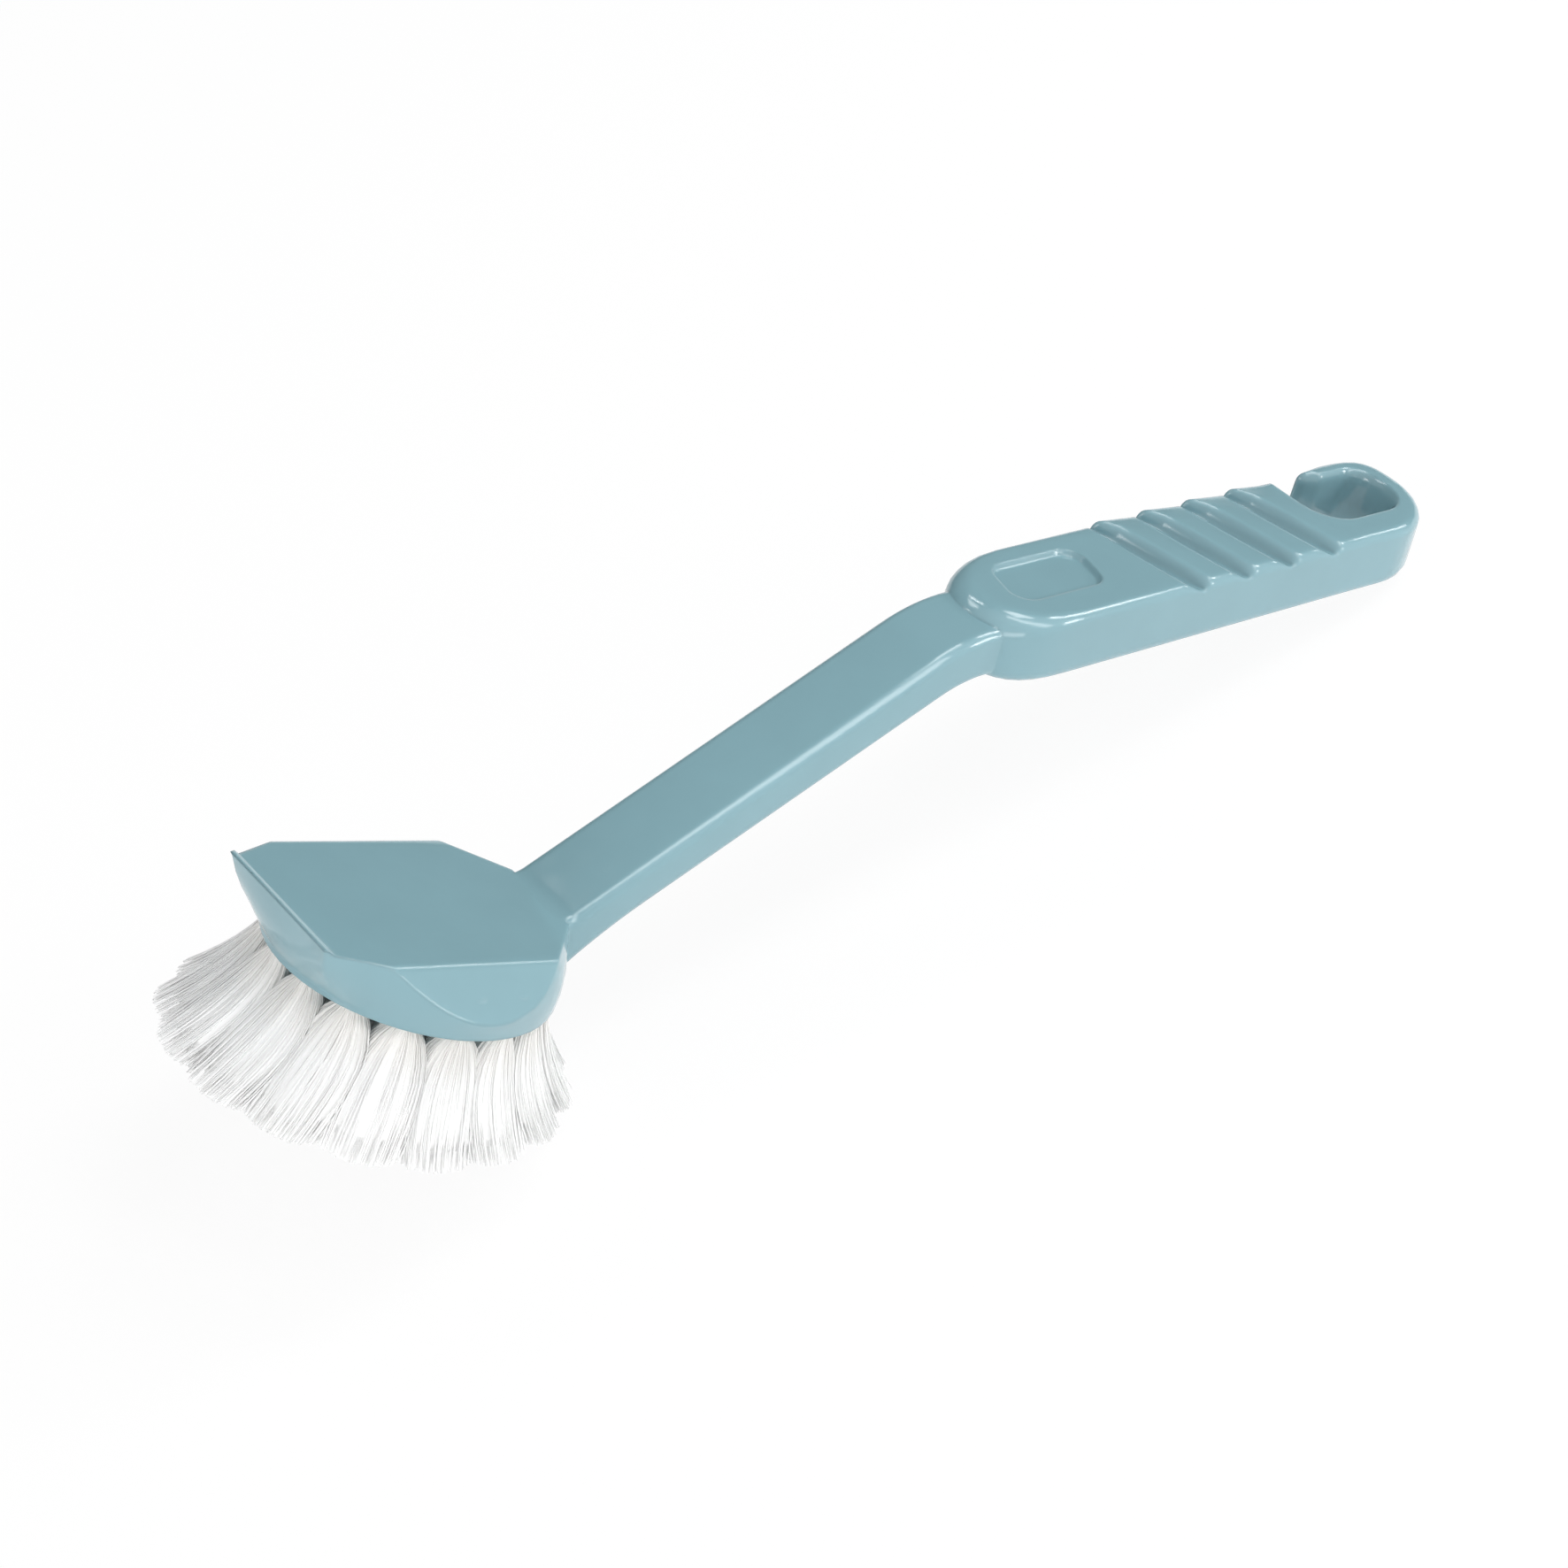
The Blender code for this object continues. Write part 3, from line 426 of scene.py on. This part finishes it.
def build_bristles(mat):
    rng = random.Random(SEED)
    for i, (x, y, ring) in enumerate(tuft_places()):
        name = "bristles_%02d" % (i + 1)
        mesh = bristle_mesh(name, x, y, ring, rng)
        mesh.materials.append(mat)
        obj = bpy.data.objects.new(name, mesh)
        bpy.context.scene.collection.objects.link(obj)
        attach(obj, "root")
        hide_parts("tuft_%02d" % (i + 1))


def dress_solids():
    """Gives the moulding and the anchors, which stay as they are, their materials."""
    body_finish = plastic_material()
    steel_finish = steel_material()
    for name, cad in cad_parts.items():
        if name == "brush_body":
            cad.material_slots[0].material = body_finish
            smooth_moulding(cad)
        elif name.startswith("anchor_"):
            cad.material_slots[0].material = steel_finish


def add_camera():
    data = bpy.data.cameras.new("camera")
    data.lens = CAMERA_LENS
    data.sensor_width = SENSOR_WIDTH
    data.clip_start = CLIP_START
    data.clip_end = CLIP_END
    cam = bpy.data.objects.new("camera", data)
    bpy.context.scene.collection.objects.link(cam)
    basis = Matrix((CAMERA_RIGHT, [-c for c in CAMERA_DOWN], [-c for c in CAMERA_AHEAD]))
    place = Matrix.Translation(Vector(CAMERA_PLACE)) @ basis.transposed().to_4x4()
    cam.matrix_world = HEAD @ place
    bpy.context.scene.camera = cam


def add_softbox(name, direction, distance, width, height, level):
    """A rectangular lamp that looks as bright as a white of the given level."""
    data = bpy.data.lights.new(name, "AREA")
    data.shape = "RECTANGLE"
    data.size, data.size_y = width, height
    data.energy = level * math.pi * width * height
    lamp = bpy.data.objects.new(name, data)
    bpy.context.scene.collection.objects.link(lamp)
    out = Vector(direction).normalized()
    lamp.location = Vector(AIM) + out * distance
    lamp.rotation_mode = "QUATERNION"
    lamp.rotation_quaternion = (-out).to_track_quat("-Z", "Y")


def backdrop_share(tree, seen_share, reflected=None):
    """How much of the plain white a ray sees. Rays that bounced see the reflected share of it."""
    path = node(tree, "ShaderNodeLightPath")
    bounced = node(tree, "ShaderNodeMath", operation="MAXIMUM")
    tree.links.new(path.outputs["Is Glossy Ray"], bounced.inputs[0])
    tree.links.new(path.outputs["Is Transmission Ray"], bounced.inputs[1])
    dimmed = node(tree, "ShaderNodeMath", operation="MULTIPLY")
    tree.links.new(bounced.outputs[0], dimmed.inputs[0])
    dimmed.inputs[1].default_value = 1.0
    if reflected is not None:
        tree.links.new(reflected, dimmed.inputs[1])
    seen = node(tree, "ShaderNodeMath", operation="MAXIMUM")
    tree.links.new(path.outputs["Is Camera Ray"], seen.inputs[0])
    tree.links.new(dimmed.outputs[0], seen.inputs[1])
    part = node(tree, "ShaderNodeMath", operation="MULTIPLY")
    tree.links.new(seen.outputs[0], part.inputs[0])
    part.inputs[1].default_value = seen_share
    return part.outputs[0]


def add_floor():
    """A round white floor that keeps the brush's shadow."""
    bm = bmesh.new()
    bmesh.ops.create_circle(bm, cap_ends=True, radius=FLOOR_RADIUS, segments=FLOOR_SEGMENTS)
    mesh = bpy.data.meshes.new("floor")
    bm.to_mesh(mesh)
    bm.free()
    floor = bpy.data.objects.new("floor", mesh)
    bpy.context.scene.collection.objects.link(floor)
    mat = bpy.data.materials.new("floor_white")
    mat.use_nodes = True
    tree = mat.node_tree
    tree.nodes.clear()
    out = node(tree, "ShaderNodeOutputMaterial")
    plain = node(tree, "ShaderNodeBsdfDiffuse")
    plain.inputs["Color"].default_value = (*FLOOR, 1)
    glow = node(tree, "ShaderNodeEmission")
    glow.inputs["Color"].default_value = (*WHITE, 1)
    glow.inputs["Strength"].default_value = 1.0
    mix = node(tree, "ShaderNodeMixShader")
    tree.links.new(backdrop_share(tree, BACKDROP_SHARE), mix.inputs[0])
    tree.links.new(plain.outputs[0], mix.inputs[1])
    tree.links.new(glow.outputs[0], mix.inputs[2])
    tree.links.new(mix.outputs[0], out.inputs["Surface"])
    mesh.materials.append(mat)


def add_world():
    """A studio that is pale on the near side and dim beyond the brush, with a white background."""
    world = bpy.data.worlds.new("studio")
    bpy.context.scene.world = world
    world.use_nodes = True
    tree = world.node_tree
    tree.nodes.clear()
    out = node(tree, "ShaderNodeOutputWorld")
    coords = node(tree, "ShaderNodeTexCoord")
    facing = node(tree, "ShaderNodeVectorMath", operation="DOT_PRODUCT")
    tree.links.new(coords.outputs["Generated"], facing.inputs[0])
    facing.inputs[1].default_value = Vector(DARK_SIDE).normalized()
    strength, white_share = (
        map_range(tree, facing.outputs["Value"], (0.0, DARK_EDGE), levels,
                  interpolation_type="SMOOTHSTEP")
        for levels in ((STUDIO_LEVEL, DARK_LEVEL), (1.0, 0.0)))
    soft = node(tree, "ShaderNodeBackground")
    soft.inputs["Color"].default_value = (*STUDIO_TINT, 1)
    tree.links.new(strength, soft.inputs["Strength"])
    bright = node(tree, "ShaderNodeBackground")
    bright.inputs["Color"].default_value = (*WHITE, 1)
    bright.inputs["Strength"].default_value = 1.0
    mix = node(tree, "ShaderNodeMixShader")
    tree.links.new(backdrop_share(tree, 1.0, white_share), mix.inputs[0])
    tree.links.new(soft.outputs[0], mix.inputs[1])
    tree.links.new(bright.outputs[0], mix.inputs[2])
    tree.links.new(mix.outputs[0], out.inputs["Surface"])


dress_solids()
build_bristles(nylon_material())
add_camera()
add_floor()
add_world()
for label, (direction, distance, width, height, level) in SOFTBOXES.items():
    add_softbox(label, direction, distance, width, height, level)
bpy.context.scene.view_settings.view_transform = "Standard"
